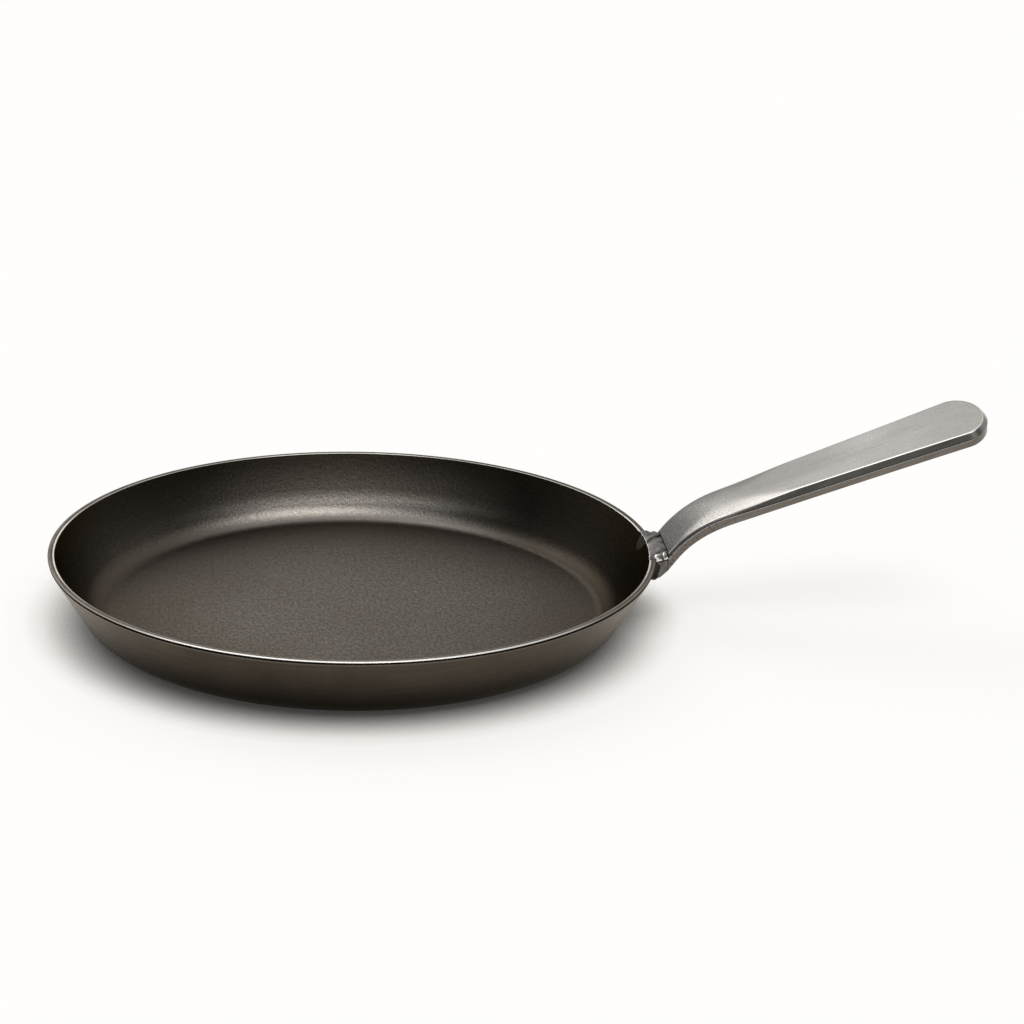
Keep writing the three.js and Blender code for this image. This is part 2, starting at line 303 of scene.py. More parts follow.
# %% Slice, map, thicken and trim a half
FINE_CUTS = [i * 1.25 for i in range(-6, 41)]
COARSE_CUTS = [54.0 + i * 6.0 for i in range(15)]
LENGTHWISE_CUTS = range(-20, 21, 2)
SIDE_SHARE = 0.7
RAW_FACE, LIP_FACE = 1, 2

root_x = JOINT_X + FIT_GAP / 2


def whole(bm):
    return bm.verts[:] + bm.edges[:] + bm.faces[:]


def slice_at(bm, place, across):
    bmesh.ops.bisect_plane(bm, geom=whole(bm), plane_co=place, plane_no=across)


def slice_blank(bm):
    for t in FINE_CUTS + COARSE_CUTS:
        slice_at(bm, (t, 0, 0), (1, 0, 0))
    for y in LENGTHWISE_CUTS:
        slice_at(bm, (0, y, 0), (0, 1, 0))


def lay_flat_map(bm):
    flat = bm.loops.layers.uv.new("flat")
    for face in bm.faces:
        for loop in face.loops:
            t, y, z = loop.vert.co
            loop[flat].uv = (t * MM, (y + SIDE_SHARE * z) * MM)


def thicken(bm):
    """Extrudes the pressed sheet inwards by its own thickness and returns the worked outer faces."""
    bmesh.ops.recalc_face_normals(bm, faces=bm.faces)
    worked = set(bm.faces)
    lining = bmesh.ops.extrude_face_region(bm, geom=bm.faces[:], use_keep_orig=True)["geom"]
    for v in verts_in(lining):
        v.co -= v.normal * SHELL
    for face in bm.faces:
        if face not in worked:
            face.material_index = RAW_FACE
    bmesh.ops.recalc_face_normals(bm, faces=bm.faces)
    return worked


def close_cut(bm):
    return bmesh.ops.holes_fill(bm, edges=[e for e in bm.edges if e.is_boundary])["faces"]


def trim_root(bm):
    bmesh.ops.bisect_plane(bm, geom=whole(bm), plane_co=(root_x, 0, 0), plane_no=(1, 0, 0), clear_inner=True)
    for face in close_cut(bm):
        face.material_index = RAW_FACE
    bmesh.ops.recalc_face_normals(bm, faces=bm.faces)


print("cuts across:", len(FINE_CUTS + COARSE_CUTS), "and along:", len(LENGTHWISE_CUTS))

# %% [markdown]
# The upper half rises from the seam with flaring sides to its top face. Its top rolls off broadly towards
# the edges in the bend and hardly at all at the tip, so one bevel of a fixed size won't do. These functions
# give the rise instead, from how far in from the edge a point lies. One more says where a painted highlight
# lies: on the side near the bracket, and along the top's edge.

# %% Shape the upper half's roll
ROOT_RUN = (3, 24)
BEND_IN, BEND_OUT = (2, 32), (36, 66)
CREST_IN = (2, 10)
TIP_FALL, BEND_FALL, ROOT_FALL = 0.13, 0.9, 0.22
TIP_ROLL, BEND_ROLL, ROOT_ROLL = 1.2, 12.0, 0.9
CREST_BLEND, BEND_BLEND = 0.22, 0.8
# Where the painted highlight lies along the upper half's edge and side
CREST_SET, CREST_BAND, CREST_HIGHLIGHT_SHARE = 0.2, 0.6, 0.8
SIDE_HIGHLIGHT, CREST_HIGHLIGHT, STRAIGHT_HIGHLIGHT = (24, 44), (1, 9), (40, 60)

side_slope = (SEAM_DEPTH - SEAM_GAP / 2) / FLARE


def upper_height(t):
    return seam_depth(t) - SEAM_GAP / 2


def bend_share(t):
    return smooth(t, *BEND_IN) * (1 - smooth(t, *BEND_OUT))


def softer_of(first, second, reach):
    """The lower of two heights, blended where they come within reach of each other."""
    share = min(max(0.5 + (second - first) / (2 * reach), 0.0), 1.0)
    return first * share + second * (1 - share) - reach * share * (1 - share)


def upper_rise(t, inward):
    """Height above the seam: the flaring side, then the top with its rolled-off edge."""
    top = upper_height(t)
    at_root = 1 - smooth(t, *ROOT_RUN)
    fall = TIP_FALL + BEND_FALL * bend_share(t) + ROOT_FALL * at_root
    width = TIP_ROLL + BEND_ROLL * bend_share(t) + ROOT_ROLL * at_root
    past = max(1 - max(inward - top / side_slope, 0.0) / width, 0.0)
    reach = CREST_BLEND + BEND_BLEND * smooth(t, *CREST_IN) * (1 - smooth(t, *BEND_OUT))
    return softer_of(inward * side_slope, top - fall * past ** 2, reach)


def painted_edge_highlight(t, inward):
    """How strongly the painted highlight shows on the edge, from 0 to 1."""
    crest = upper_height(t) / side_slope + CREST_SET
    beside = 1 - abs(inward - crest) / CREST_BAND
    straight = CREST_HIGHLIGHT_SHARE * smooth(t, *STRAIGHT_HIGHLIGHT)
    if inward < crest:
        return max(1 - smooth(t, *SIDE_HIGHLIGHT), beside * straight)
    return max(beside, 0.0) * max(1 - smooth(t, *CREST_HIGHLIGHT), straight)


print("rise at the bend, 1 and 5 mm in:", [round(upper_rise(bend_end, inward), 2) for inward in (1, 5)])

# %% [markdown]
# The flat face is inset ring by ring, and each vertex remembers how far in it lies. It is then sliced,
# lifted to its rise, given its thickness and bent.

# %% Press the upper half
RINGS = (0.25, 0.5, 0.72, 0.9, 1.05, 1.2, 1.35, 1.5, 1.7, 1.95, 2.25, 2.6, 3.1, 3.7, 4.4, 5.2)

upper_bm, seam_face = blank(0.0, TIP, True)
inward = upper_bm.verts.layers.float.new("inward")
edge_highlight = upper_bm.verts.layers.float.new("edge_highlight")
for ring, last in zip(RINGS, (0.0, *RINGS)):
    bmesh.ops.inset_region(upper_bm, faces=[seam_face], thickness=ring - last, use_even_offset=True,
                           use_boundary=True)
    for v in seam_face.verts:
        v[inward] = ring
slice_blank(upper_bm)
lay_flat_map(upper_bm)
for v in upper_bm.verts:
    t, y, _ = v.co
    from_edge = v[inward] if t > tip_start else max(v[inward], half_width(t) - abs(y))
    v.co.z = max(upper_rise(t, from_edge), 0.0)
    # Each vertex notes the share of painted highlight on it
    v[edge_highlight] = painted_edge_highlight(t, from_edge)
thicken(upper_bm)
for v in upper_bm.verts:
    t, y, z = v.co
    v.co = bend(t, y, upper_height(t) - max(z, 0.0))
trim_root(upper_bm)
upper_half = finish_piece(upper_bm, "handle_upper_half", "handle_upper_shell")

# %% [markdown]
# The lower half is an open tray with a soft lower edge, and a rolled lip at the seam that catches the
# light. An inset gives its sides and a bevel its lower edge. It is thickened inwards while it is still
# straight, and the lip is a second bevel, on the outer edge of the sheet. The sliced tray is then bent and
# cut square at the root.

# %% Press the lower half
LOWER_STEP = 0.05
LOWER_FLARE = 0.75
LOWER_TIP = TIP - 0.35
LOWER_EDGE = 0.6
LIP_ROLL = 0.35

press_depth = THICKNESS - SEAM_DEPTH - SEAM_GAP / 2


def round_edges(bm, edges, size, segments, clamp=False):
    return bmesh.ops.bevel(bm, geom=edges, offset=size, offset_type="OFFSET", segments=segments, profile=0.5,
                           affect="EDGES", material=-1, clamp_overlap=clamp)["faces"]


lower_bm, seam_face = blank(LOWER_STEP, LOWER_TIP, False)
bmesh.ops.inset_region(lower_bm, faces=[seam_face], thickness=LOWER_FLARE, depth=press_depth,
                       use_even_offset=True, use_boundary=True)
round_edges(lower_bm, list(seam_face.edges), LOWER_EDGE, segments=4)
worked = thicken(lower_bm)
lip_edges = [e for e in lower_bm.edges if len(worked.intersection(e.link_faces)) == 1]
for face in round_edges(lower_bm, lip_edges, LIP_ROLL, segments=3):
    face.material_index = LIP_FACE
slice_blank(lower_bm)
lay_flat_map(lower_bm)
for v in lower_bm.verts:
    t, y, z = v.co
    top = seam_depth(t) + SEAM_GAP / 2
    v.co = bend(t, y, top - min(z, 0.0) / press_depth * (thickness(t) - top))
trim_root(lower_bm)
lower_half = finish_piece(lower_bm, "handle_lower_half", "handle_lower_shell")

# %% [markdown]
# The bracket is a forged block that fills the space between the flared wall and the root of the handle. It
# could be extruded from its side view, but its sides narrow as well, so it is cut from a cube with three
# planes: one slopes the bottom up to the handle and two narrow the sides. A bevel then rounds the edges
# between them.

# %% Cut the bracket's block
BRACKET_WIDTH = 37.0
BLOCK_SINK = 1.8
BLOCK_HEIGHT = 7.7
BLOCK_BACK = 118.0
BLOCK_FOOT = RIM_RADIUS + 1.0
FOOT_LIFT = 0.3
TAPER_LEAD = 1.6
BLOCK_EDGE = 0.6
FACING_X = 0.95

block_top = PAN_HEIGHT - BLOCK_SINK
block_bottom = block_top - BLOCK_HEIGHT
block_end = JOINT_X - FIT_GAP / 2
block_half = BRACKET_WIDTH / 2
end_half = half_width(0) - LOWER_STEP
end_bottom = ROOT_Z - thickness(0) / math.cos(ROOT_ANGLE)
foot_rise = end_bottom - block_bottom + FOOT_LIFT
taper_start = BLOCK_FOOT - TAPER_LEAD


def cut_flat(bm, place, outwards):
    """Cuts off what lies beyond a plane and closes the cut."""
    bmesh.ops.bisect_plane(bm, geom=whole(bm), plane_co=place, plane_no=outwards, clear_outer=True)
    close_cut(bm)


bracket_bm = bmesh.new()
bmesh.ops.create_cube(bracket_bm, size=1.0)
block_size = (block_end - BLOCK_BACK, BRACKET_WIDTH, BLOCK_HEIGHT)
block_middle = ((block_end + BLOCK_BACK) / 2, 0, (block_top + block_bottom) / 2)
bmesh.ops.scale(bracket_bm, vec=block_size, verts=bracket_bm.verts)
bmesh.ops.translate(bracket_bm, vec=block_middle, verts=bracket_bm.verts)
cut_flat(bracket_bm, (BLOCK_FOOT, 0, block_bottom), (foot_rise, 0, BLOCK_FOOT - block_end))
for side in (-1, 1):
    cut_flat(bracket_bm, (taper_start, side * block_half, 0),
             (block_half - end_half, side * (block_end - taper_start), 0))
bmesh.ops.recalc_face_normals(bracket_bm, faces=bracket_bm.faces)
lengthwise = [e for e in bracket_bm.edges if all(abs(f.normal.x) < FACING_X for f in e.link_faces)]
round_edges(bracket_bm, lengthwise, BLOCK_EDGE, segments=3, clamp=True)
print("block's foot slopes up by", round(foot_rise, 1), "mm")

# %% [markdown]
# A tang runs on from the block inside the two halves, where it can't be seen. It is the block's end face,
# inset and then extruded step by step along the handle's line, a clearance away from the sheet.

# %% Draw out the tang
TANG_LENGTH = 34.0
TANG_STATIONS = 12
TANG_INSET = 1.0

sheet_clear = SHELL + FIT_GAP
tang_top = max(sheet_clear, (ROOT_Z - block_top) * math.cos(ROOT_ANGLE))
end_face = max(bracket_bm.faces, key=lambda face: face.normal.x)
bmesh.ops.inset_region(bracket_bm, faces=[end_face], thickness=TANG_INSET)
section = [(v.co.y / end_half, (v.co.z - end_bottom) / (block_top - end_bottom)) for v in end_face.verts]
for station in range(1, TANG_STATIONS + 1):
    t = TANG_LENGTH * station / TANG_STATIONS
    tang_half = half_width(t) - FLARE - sheet_clear
    tang_low = thickness(t) - sheet_clear
    end_face = bmesh.ops.extrude_discrete_faces(bracket_bm, faces=[end_face])["faces"][0]
    for v, (side, level) in zip(end_face.verts, section):
        v.co = bend(t, side * tang_half, tang_low + (tang_top - tang_low) * level)
print("tang ends", round(end_face.calc_center_median().x - JOINT_X, 1), "mm past the joint")

# %% [markdown]
# The face towards the pan has to follow the round, flared wall. The block is sliced there, and each vertex
# that lies too deep is pushed out along X until it clears the wall. The same push will fit the weld beads.

# %% Fit the bracket to the pan
SIDEWAYS_CUTS = range(-18, 19, 2)
LEVEL_CUTS = (21.5, 23.0, 25.0, 26.5, 27.4)

wall_gap = FIT_GAP / math.sin(WALL)


def room_radius(z):
    """Radius that a neighbour of the pan keeps clear of at height z."""
    if z > shoulder_z - FIT_GAP:
        return RIM_RADIUS + FIT_GAP
    return outer_wall(z) + wall_gap


def clear_of_pan(bm):
    for v in bm.verts:
        keep = room_radius(v.co.z)
        if math.hypot(v.co.x, v.co.y) < keep:
            v.co.x = math.sqrt(keep * keep - v.co.y * v.co.y)


for y in SIDEWAYS_CUTS:
    slice_at(bracket_bm, (0, y, 0), (0, 1, 0))
for z in LEVEL_CUTS:
    slice_at(bracket_bm, (0, 0, z), (0, 0, 1))
clear_of_pan(bracket_bm)
bmesh.ops.recalc_face_normals(bracket_bm, faces=bracket_bm.faces)
bracket = finish_piece(bracket_bm, "bracket", "handle_bracket")

# %% [markdown]
# The weld on top was run from side to side in short pulses and laps over the rim's flat land, so it has
# slanting ripples like a pushed stack of coins, and drops where the run ended. Ripples this large are real
# shape, so they move vertices and aren't a bump in the finish. These functions give the pad's height at any
# place.

# %% Shape the top weld's ripples
PAD_LAP = 3.3
RIM_TOUCH = 0.03
RIM_STEP = 1.5
SLANT, SKEW, RUN = 1.25, 0.3, 4
COARSE, FINE = (4.4, 3.0), (1.9, 9.0)
COARSE_HEIGHT, FINE_HEIGHT, RIPPLE_SINK = 0.72, 0.18, 0.15
CROWN_FOOT, CROWN, CROWN_REACH = 0.25, 0.75, 1.02
LEAST_HEIGHT = 0.12
EDGE_POWER, EDGE_LEAST = 14, 0.05
DROPS = ((Vector((130.0, -18.7)), 2.5), (Vector((133.3, -15.7)), 1.6))
DROP_STRETCH = 0.8
DROP_HEIGHT = 0.8

pad_bottom = block_top + FIT_GAP
land_top = PAN_HEIGHT + RIM_TOUCH


def ridges(x, y, pitch, seed):
    """Crests that slant across the pad, sharp on top and round in the valleys' floor."""
    slant = y - SLANT * (x - RIM_RADIUS)
    return 1 - 2 * abs(noise.noise((slant / pitch, (x + SKEW * y) / (RUN * pitch), seed)))


def drop_reach(x, y):
    return max(1 - math.hypot(x - place.x, (y - place.y) * DROP_STRETCH) / size for place, size in DROPS)


def pad_floor(x, y):
    """What the weld lies on: the rim's flat land, or the bracket below it."""
    return pad_bottom if math.hypot(x, y) > RIM_RADIUS + FIT_GAP / 2 else land_top


def pad_top(x, y, along, across):
    crown = CROWN_FOOT + CROWN * math.sin(math.pi * min(along * CROWN_REACH, 1.0))
    ripple = COARSE_HEIGHT * ridges(x, y, *COARSE) + FINE_HEIGHT * ridges(x, y, *FINE) - RIPPLE_SINK
    past_rim = smooth(math.hypot(x, y), RIM_RADIUS, RIM_RADIUS + RIM_STEP)
    low = land_top - (PAN_HEIGHT - pad_bottom) * past_rim
    high = PAN_HEIGHT + max(crown + ripple, LEAST_HEIGHT)
    edge = max(1 - abs(across) ** EDGE_POWER, EDGE_LEAST)
    drop = DROP_HEIGHT * math.sin(math.pi / 2 * max(drop_reach(x, y), 0.0))
    return low + edge * (high - low) + drop


print("pad rises from", round(pad_bottom, 1), "to about", round(PAN_HEIGHT + CROWN_FOOT + CROWN, 1))

# %% [markdown]
# A fine grid takes the pad's outline and heights, and is extruded down to what it lies on, to make it a
# solid. Each vertex also notes how near it is to a drop and how deep in a valley, for the finish to use.

# %% Lay the top weld
PAD_GRID = (64, 132)
FAR_HALF, FAR_END_HALF = 15.2, 14.4
NEAR_HALF, NEAR_END_HALF = 20.6, 15.4
PAD_TAPER = 1.2
TOE_WAVE, TOE_PITCH, TOE_SEED = 0.3, 0.9, (5.0, 1.0)
LAP_EDGE, LAP_HIGHLIGHT = 0.035, 0.3

pad_bm = bmesh.new()
bmesh.ops.create_grid(pad_bm, x_segments=PAD_GRID[0], y_segments=PAD_GRID[1], size=1.0)
highlight_share = pad_bm.verts.layers.float.new("drop")
valley_depth = pad_bm.verts.layers.float.new("valley")
for v in pad_bm.verts:
    along, across = (v.co.x + 1) / 2, v.co.y
    wide, narrow = (FAR_HALF, FAR_END_HALF) if across > 0 else (NEAR_HALF, NEAR_END_HALF)
    y = across * (wide + (narrow - wide) * along ** PAD_TAPER)
    start = math.sqrt((RIM_RADIUS + FIT_GAP - PAD_LAP) ** 2 - y * y)
    toe = block_end - TOE_WAVE * abs(noise.noise((y * TOE_PITCH, *TOE_SEED)))
    x = start + (toe - start) * along
    # Share of painted highlight: on the drops, and partly along the pad's inner edge
    v[highlight_share] = max(drop_reach(x, y), LAP_HIGHLIGHT if along < LAP_EDGE else 0.0)
    v[valley_depth] = 1 - ridges(x, y, *COARSE)
    v.co = (x, y, pad_top(x, y, along, across))
lowered = bmesh.ops.extrude_face_region(pad_bm, geom=pad_bm.faces[:], use_keep_orig=True)["geom"]
for v in verts_in(lowered):
    v.co.z = pad_floor(v.co.x, v.co.y)
bmesh.ops.recalc_face_normals(pad_bm, faces=pad_bm.faces)
top_bead = finish_piece(pad_bm, "top_weld_bead", "top_weld")

# %% [markdown]
# Three smaller beads close the bracket's sides and lower edge. A bead could be a swept circle, but its ends
# are round, so each is a ball drawn out along its corner and given the same pulsed ripple.

# %% Draw out a bead
BEAD_SEGMENTS, BEAD_RINGS = 28, 44
PULSE, TWIST = 0.07, 1.4
END_POWER = 8
LEAST_RADIUS = 0.01


def drawn_bead(start, end, radius, pulses):
    bm = bmesh.new()
    bmesh.ops.create_uvsphere(bm, u_segments=BEAD_SEGMENTS, v_segments=BEAD_RINGS, radius=1.0)
    run = end - start
    turn = run.normalized().to_track_quat("Z", "X")
    for v in bm.verts:
        out = Vector((v.co.x, v.co.y, 0))
        pulse = 1 + PULSE * math.sin(pulses * 2 * math.pi * v.co.z + TWIST * out.x)
        fullness = math.sqrt(max(1 - v.co.z ** END_POWER, 0.0)) / max(out.length, LEAST_RADIUS)
        v.co = start + run * ((v.co.z + 1) / 2) + turn @ (out * radius * pulse * fullness)
    return bm


def wall_x(y, z):
    return math.sqrt(outer_wall(z) ** 2 - y * y)


print("pan's wall at the middle of the bracket's foot: x =", round(wall_x(0, block_bottom), 1))

# %% [markdown]
# The side beads lean against the wall on either side of the bracket, and the lower one follows its foot
# round the pan. A flat cut keeps each clear of the bracket, and its hidden back is pushed clear of the
# wall.

# %% Lay the side and lower beads
BEAD = 2.6
FOOT_LEAN, HEAD_LEAN, SIDE_LEAN = 2.8, 0.4, 0.2
SIDE_PULSES, UNDER_PULSES = 4, 9
UNDER_BEAD = 2.0
UNDER_LEAN = 0.5
UNDER_SHORT = 2.0
BEAD_MERGE = 0.002


def leaning_point(y, z, lean):
    return Vector((wall_x(y, z) + FIT_GAP + lean, y, z))


small_beads = []
for name, node, side in (("left_weld_bead", "left_weld", 1), ("right_weld_bead", "right_weld", -1)):
    block_side = side * (block_half + FIT_GAP)
    y = block_side + side * SIDE_LEAN
    foot = leaning_point(y, block_bottom + FIT_GAP, FOOT_LEAN)
    head = leaning_point(y, pad_bottom - 2 * FIT_GAP, HEAD_LEAN)
    bead_bm = drawn_bead(foot, head, BEAD, SIDE_PULSES)
    cut_flat(bead_bm, (0, block_side, 0), (0, -side, 0))
    clear_of_pan(bead_bm)
    bmesh.ops.remove_doubles(bead_bm, verts=bead_bm.verts, dist=BEAD_MERGE)
    bmesh.ops.recalc_face_normals(bead_bm, faces=bead_bm.faces)
    small_beads.append(finish_piece(bead_bm, name, node))

under_ends = [Vector((UNDER_LEAN, side * (block_half - UNDER_SHORT), block_bottom)) for side in (-1, 1)]
under_bm = drawn_bead(*under_ends, UNDER_BEAD, UNDER_PULSES)
cut_flat(under_bm, (0, 0, block_bottom - FIT_GAP), (0, 0, 1))
for v in under_bm.verts:
    v.co.x += wall_x(v.co.y, block_bottom)
clear_of_pan(under_bm)
bmesh.ops.recalc_face_normals(under_bm, faces=under_bm.faces)
small_beads.append(finish_piece(under_bm, "under_weld_bead", "under_weld"))

# %% [markdown]
# All the finishes are metal, so they share one start: a Principled shader with full metalness, and a tint
# for what it mirrors at a grazing angle. They are built from a few kinds of node, so short helpers add a
# node, set its values and link what they are given. Places in a finish are in metres, as Object coordinates
# are.

# %% Start a metal finish
PLAIN_EDGE = (1.0, 1.0, 1.0, 1)


def add(tree, kind, inputs=None, **settings):
    made = tree.nodes.new(kind)
    for key, value in settings.items():
        setattr(made, key, value)
    for key, value in (inputs or {}).items():
        if isinstance(value, bpy.types.NodeSocket):
            tree.links.new(value, made.inputs[key])
        else:
            made.inputs[key].default_value = value
    return made


def metal(name, edge_tint=PLAIN_EDGE):
    finish = bpy.data.materials.new(name)
    finish.use_nodes = True
    shader = finish.node_tree.nodes["Principled BSDF"]
    shader.inputs["Metallic"].default_value = 1.0
    shader.inputs["Specular Tint"].default_value = edge_tint
    return finish, finish.node_tree


def surface(finish, colour, roughness, height, strength, distance):
    tree = finish.node_tree
    shader = tree.nodes["Principled BSDF"]
    bump = add(tree, "ShaderNodeBump", {"Height": height, "Strength": strength, "Distance": distance})
    tree.links.new(colour, shader.inputs["Base Color"])
    tree.links.new(roughness, shader.inputs["Roughness"])
    tree.links.new(bump.outputs["Normal"], shader.inputs["Normal"])
    print(finish.name, "has", len(tree.nodes), "nodes")


print("a plain metal's edge tint:", PLAIN_EDGE)

# %% [markdown]
# These tools put a finish together. A stretched grain gives brushing, a smooth spread turns a height or a
# distance into a share, and sums, products and blends combine them.

# %% Name the finish's tools


def place_on(tree):
    return add(tree, "ShaderNodeTexCoord").outputs["Object"]


def axes_of(tree, vector):
    return add(tree, "ShaderNodeSeparateXYZ", {0: vector}).outputs


def distance_from(tree, place, point):
    return add(tree, "ShaderNodeVectorMath", {0: place, 1: point}, operation="DISTANCE").outputs["Value"]


def grain(tree, vector, scale, detail, roughness):
    values = {"Vector": vector, "Scale": scale, "Detail": detail, "Roughness": roughness}
    return add(tree, "ShaderNodeTexNoise", values).outputs["Fac"]


def stretched(tree, vector, x, y, z):
    return add(tree, "ShaderNodeMapping", {"Vector": vector, "Scale": (x, y, z)}).outputs["Vector"]


def spread_of(tree, value, low, high, out_low=0.0, out_high=1.0):
    values = {"Value": value, "From Min": low, "From Max": high, "To Min": out_low, "To Max": out_high}
    return add(tree, "ShaderNodeMapRange", values, interpolation_type="SMOOTHSTEP").outputs["Result"]


def noted(tree, name):
    """What the vertices noted under a name while their piece was shaped."""
    return add(tree, "ShaderNodeAttribute", attribute_name=name).outputs["Fac"]


def blend_colours(tree, factor, first, second, kind="MIX"):
    values = {0: factor, 6: first, 7: second}
    return add(tree, "ShaderNodeMix", values, data_type="RGBA", blend_type=kind).outputs[2]


def calc(tree, operation, first, second):
    return add(tree, "ShaderNodeMath", {0: first, 1: second}, operation=operation).outputs["Value"]


def product(tree, first, *others):
    for other in others:
        first = calc(tree, "MULTIPLY", first, other)
    return first


def total(tree, first, *others):
    for other in others:
        first = calc(tree, "ADD", first, other)
    return first


print("finishes so far:", len(bpy.data.materials))

# %% [markdown]
# The inside of the pan is seasoned steel: a dark grey-brown film of baked oil with a fine pebbled skin and
# slow clouds of lighter and darker patina. Use has worn it lighter towards the middle of the floor.

# %% Season the floor
SEASONED_EDGE = (0.45, 0.43, 0.4, 1)
WORN_CENTRE, WORN_REACH = (0.003, 0.0, 0.0), (0.145, 0.05)
FRESH_FILM, WORN_FILM = (0.075, 0.065, 0.054, 1), (0.213, 0.198, 0.18, 1)
CLOUD_FILM = (0.1, 0.088, 0.075, 1)
SPECK = (0.06, 0.052, 0.044, 1)

seasoned, tree = metal("seasoned_steel", SEASONED_EDGE)
place = place_on(tree)
axes = axes_of(tree, place)
clouds = grain(tree, place, 16.0, 5.0, 0.6)
pebbles = grain(tree, stretched(tree, place, 700.0, 420.0, 700.0), 1.0, 3.0, 0.6)
dust = grain(tree, place, 2600.0, 2.0, 0.5)
from_middle = total(tree, distance_from(tree, place, WORN_CENTRE), product(tree, clouds, 0.03))
patina = blend_colours(tree, spread_of(tree, from_middle, *WORN_REACH), FRESH_FILM, WORN_FILM)
patina = blend_colours(tree, spread_of(tree, clouds, 0.35, 0.7, 0.0, 0.3), patina, CLOUD_FILM)
patina = blend_colours(tree, spread_of(tree, pebbles, 0.38, 0.62, 0.0, 0.45), patina, SPECK)
patina = blend_colours(tree, spread_of(tree, dust, 0.35, 0.65, 0.0, 0.55), patina, SPECK)
print("the floor's film takes", len(tree.nodes), "nodes")

# %% [markdown]
# A painted highlight brightens the far corner, painted shade dulls the rest of the corner and darkens it
# most on the handle's side, and painted shade darkens the wall towards the rim.

# %% Paint light and shade on the corner and the wall
FAR_CORNER, FAR_REACH = (0.0, 0.112, 0.008), (0.105, 0.03)
CORNER_TOP, CORNER_RISE = (0.016, 0.0085), 0.001
HANDLE_REACH, HANDLE_RISE = (0.045, 0.085), 0.0008
WALL_SHADE_RISE = (0.006, 0.0305)
# Colours of the painted highlight and the painted shade on the corner and the wall
CORNER_HIGHLIGHT, CORNER_SHADE = (0.27, 0.248, 0.223, 1), (0.092, 0.079, 0.065, 1)
HANDLE_SIDE_SHADE = (0.008, 0.0065, 0.005, 1)
WALL_TOP_SHADE, FAR_WALL_TOP_SHADE = (0.024, 0.0196, 0.0148, 1), (0.016, 0.013, 0.0098, 1)

floor_z = SHEET * MM
far_side = spread_of(tree, distance_from(tree, place, FAR_CORNER), *FAR_REACH)
near_side = calc(tree, "SUBTRACT", 1.0, far_side)
corner = product(tree, spread_of(tree, axes["Z"], floor_z, floor_z + CORNER_RISE, 0.0, 0.75),
                 spread_of(tree, axes["Z"], *CORNER_TOP))
# Painted highlight: the far corner is made bright
patina = blend_colours(tree, product(tree, corner, far_side), patina, CORNER_HIGHLIGHT)
# Painted shade: the rest of the corner is made duller
patina = blend_colours(tree, product(tree, corner, near_side), patina, CORNER_SHADE)
# Painted shade: the corner on the handle's side is made darkest
handle_side_shade = product(tree, spread_of(tree, axes["X"], *HANDLE_REACH, 0.0, 0.6),
                      spread_of(tree, axes["Z"], floor_z, floor_z + HANDLE_RISE))
patina = blend_colours(tree, handle_side_shade, patina, HANDLE_SIDE_SHADE)
# Painted shade: the wall darkens towards the rim, most on the far side
wall_top_shade = blend_colours(tree, far_side, WALL_TOP_SHADE, FAR_WALL_TOP_SHADE)
patina = blend_colours(tree, spread_of(tree, axes["Z"], *WALL_SHADE_RISE, 0.0, 0.96), patina, wall_top_shade)
print("with the corner and the wall it takes", len(tree.nodes), "nodes")

# %% [markdown]
# On the far wall the colour is multiplied up, a painted highlight, most towards the right. A fine crackle
# covers the wall, and a faint oval behind the bracket shows where welding heated the sheet.

# %% Paint light on the far wall and crackle the film
FAR_X, FAR_Y, FAR_Z = (0.088, 0.06), (0.05, 0.09), (0.007, 0.012)
GAIN_X, GAIN_Z = (-0.04, 0.05), (0.031, 0.018)
CRACKLE_RISE = (0.003, 0.006)
HEAT_CENTRE, HEAT_REACH = (0.1268, 0.0068, 0.0292), (0.0056, 0.0042)
HEATED = (0.13, 0.115, 0.098, 1)

off_middle = calc(tree, "ABSOLUTE", axes["X"], 0.0)
far_wall = product(tree, spread_of(tree, axes["Y"], *FAR_Y), spread_of(tree, off_middle, *FAR_X),
                   spread_of(tree, axes["Z"], *FAR_Z))
# Painted highlight: the far wall's colour is multiplied up, more to the right and less near the rim
painted_light_gain = product(tree, spread_of(tree, axes["X"], *GAIN_X, 1.25, 2.9),
                     spread_of(tree, axes["Z"], *GAIN_Z, 0.6, 1.0))
patina = blend_colours(tree, far_wall, patina, painted_light_gain, "MULTIPLY")
on_wall = spread_of(tree, axes["Z"], *CRACKLE_RISE, 0.3, 1.0)
crackle = spread_of(tree, dust, 0.3, 0.7, 0.55, 1.45)
patina = blend_colours(tree, on_wall, patina, crackle, "MULTIPLY")
heat = spread_of(tree, distance_from(tree, place, HEAT_CENTRE), *HEAT_REACH, 0.0, 0.5)
patina = blend_colours(tree, heat, patina, HEATED)
film = spread_of(tree, total(tree, clouds, product(tree, dust, 0.5)), 0.4, 1.1, 0.3, 0.42)
skin = total(tree, pebbles, product(tree, dust, 0.6))
surface(seasoned, patina, film, skin, strength=0.4, distance=0.0003)

# %% [markdown]
# The outside was brushed while the pan turned, so its fine lines run round it. Squashing the noise hard
# along Z draws them out into rings. Brown heat colour drifts over the steel in broad patches. Painted shade
# darkens it towards the base, and a painted highlight lightens the very top, below the groove.

# %% Finish the pan's outside
BRUSHED_EDGE = (0.93, 0.88, 0.82, 1)
FOOT_SHADE_BAND, TOP_HIGHLIGHT_BAND = (0.019, 0.003), (0.0279, 0.0286)
BROWN_STEEL, PALE_BROWN_STEEL = (0.054, 0.043, 0.032, 1), (0.088, 0.071, 0.054, 1)
BRUSH_LINE = (0.036, 0.029, 0.022, 1)
FOOT_SHADE = (0.012, 0.0095, 0.007, 1)
TOP_HIGHLIGHT = (0.15, 0.128, 0.104, 1)

